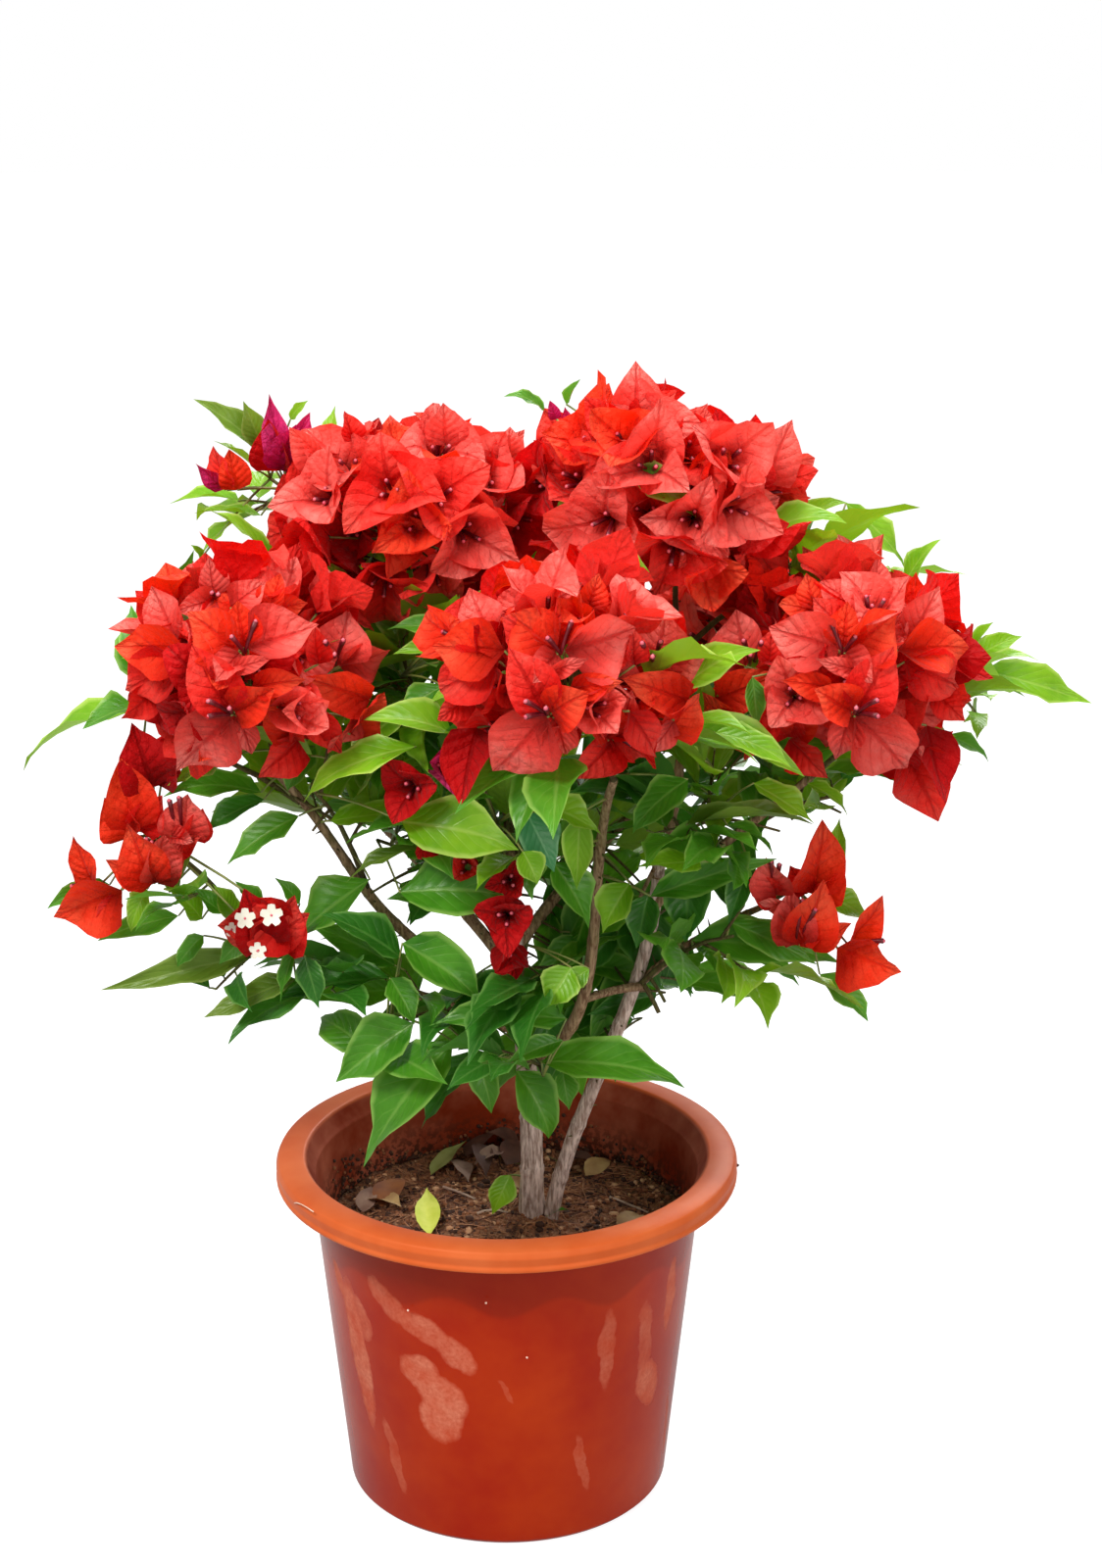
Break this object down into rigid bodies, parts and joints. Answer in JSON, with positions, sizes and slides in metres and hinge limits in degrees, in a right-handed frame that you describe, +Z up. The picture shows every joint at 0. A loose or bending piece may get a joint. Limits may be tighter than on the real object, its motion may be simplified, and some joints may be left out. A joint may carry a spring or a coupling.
{
  "type": "bougainvillea bush in a planter",
  "caption": "Bushy bougainvillea in a round tapered nursery pot with a rolled lip: woody stems fork into boughs that carry leafy sprays and domed heads of red papery bracts.",
  "frame": {"origin": "centre of the flat underside of the pot, where it rests on the floor", "axes": "+Z up through the pot, -Y towards the viewer of the picture, +X to the right of the picture"},
  "size_m": [0.6735, 0.5117, 0.75],
  "materials": {
    "pot_plastic": "semi-gloss",
    "potting_soil": "rough, moist",
    "bark": "rough",
    "bracts_and_leaves": "papery",
    "leaves": "satin"
  },
  "bodies": {
    "root": {"pot": "pot_plastic", "soil": "potting_soil", "main_stem": "bark", "leaning_stem": "bark", "bough_front": "bark", "bough_left": "bark", "bough_low_left": "bark", "bough_top_left": "bark", "bough_top_right": "bark", "bough_low_right": "bark", "bough_right": "bark", "bough_back_left": "bark", "bough_back": "bark", "bough_back_right": "bark", "flower_head_left": "bracts_and_leaves", "flower_head_top_left": "bracts_and_leaves", "flower_head_top_right": "bracts_and_leaves", "flower_head_front": "bracts_and_leaves", "flower_head_right": "bracts_and_leaves", "flower_head_back_left": "bracts_and_leaves", "flower_head_back": "bracts_and_leaves", "flower_head_back_right": "bracts_and_leaves", "spray_low_left": "bracts_and_leaves", "spray_low_right": "bracts_and_leaves", "spray_top_left": "bracts_and_leaves", "spray_right": "leaves", "spray_far_left": "leaves", "spray_upper_right": "leaves", "leaves_upper_left": "leaves", "leaves_under_left": "leaves", "leaves_mid_left": "leaves", "leaves_inner": "leaves", "leaves_middle": "leaves", "leaves_mid_right": "leaves", "leaves_far_right": "leaves", "leaves_far_left": "leaves", "leaves_low_left": "leaves", "leaves_low_front": "leaves", "leaves_low_right": "leaves", "leaves_back_left": "leaves", "leaves_back_right": "leaves", "leaves_back": "leaves"}
  },
  "joints": []
}
